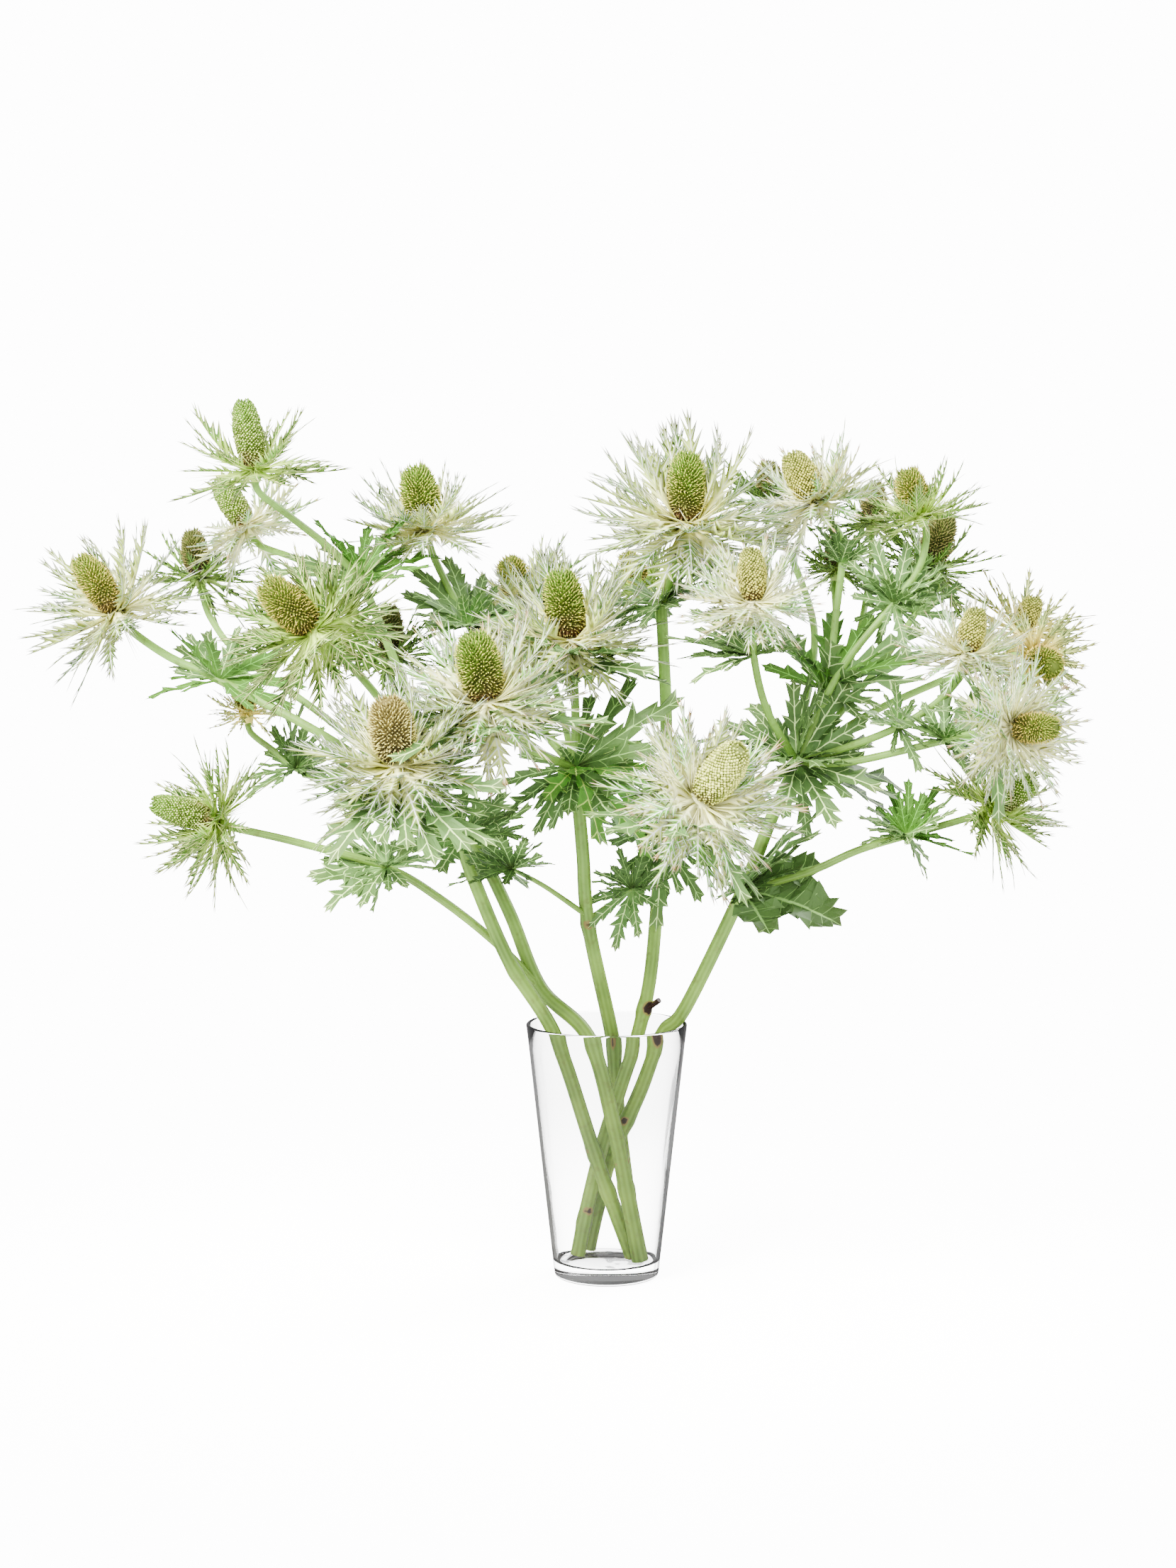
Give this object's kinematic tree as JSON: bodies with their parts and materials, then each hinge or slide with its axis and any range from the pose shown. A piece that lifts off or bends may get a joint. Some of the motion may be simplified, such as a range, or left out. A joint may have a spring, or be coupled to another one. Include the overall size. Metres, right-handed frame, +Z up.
{
  "type": "sea holly bouquet in a glass tumbler",
  "caption": "Cut stems of sea holly with spiny silver-green ruffs round their cones, standing loosely in a conical clear glass tumbler without water.",
  "frame": {"origin": "centre of the tumbler's flat bottom, on the surface it stands on", "axes": "+Z up along the tumbler's axis; +X to the right in the front view, along the bunch's width; +Y to the back, along its depth"},
  "size_m": [0.5862, 0.3259, 0.479],
  "materials": {
    "glass": "clear, smooth and glossy, with a thick bottom",
    "stem_green": "matt ribbed green stems and leaves with pale veins and brown knuckles",
    "ruff_silver": "matt silver-green spiny bracts with whitish ribs",
    "ruff_green": "matt dark green spiny bracts with pale ribs",
    "cone_green": "rough cone of small green florets with cream specks",
    "cone_brown": "rough cone of small brown florets with cream specks"
  },
  "bodies": {
    "root": {"vase": "glass", "stem_1": "stem_green", "stem_2": "stem_green", "stem_3": "stem_green", "stem_4": "stem_green", "stem_5": "stem_green", "cone_01": "cone_green", "ruff_01": "ruff_silver", "cone_02": "cone_green", "ruff_02": "ruff_silver", "cone_03": "cone_green", "ruff_03": "ruff_green", "cone_04": "cone_brown", "ruff_04": "ruff_silver", "cone_05": "cone_green", "ruff_05": "ruff_silver", "cone_06": "cone_green", "ruff_06": "ruff_green", "cone_07": "cone_brown", "ruff_07": "ruff_silver", "cone_08": "cone_green", "ruff_08": "ruff_silver", "cone_09": "cone_green", "ruff_09": "ruff_silver", "cone_10": "cone_green", "ruff_10": "ruff_silver", "cone_11": "cone_brown", "ruff_11": "ruff_silver", "cone_12": "cone_green", "ruff_12": "ruff_silver", "cone_13": "cone_green", "ruff_13": "ruff_silver", "cone_14": "cone_green", "ruff_14": "ruff_silver", "cone_15": "cone_green", "ruff_15": "ruff_green", "cone_17": "cone_brown", "ruff_17": "ruff_green", "cone_19": "cone_green", "ruff_19": "ruff_silver", "cone_20": "cone_green", "ruff_20": "ruff_green", "cone_21": "cone_green", "ruff_21": "ruff_silver", "cone_22": "cone_green", "ruff_22": "ruff_silver", "cone_23": "cone_green", "ruff_23": "ruff_silver", "cone_25": "cone_green", "ruff_25": "ruff_silver", "cone_26": "cone_green", "ruff_26": "ruff_green", "cone_27": "cone_green", "ruff_27": "ruff_green", "head_16": "ruff_green", "head_18": "ruff_green", "head_24": "ruff_green", "head_28": "ruff_silver"}
  },
  "joints": []
}
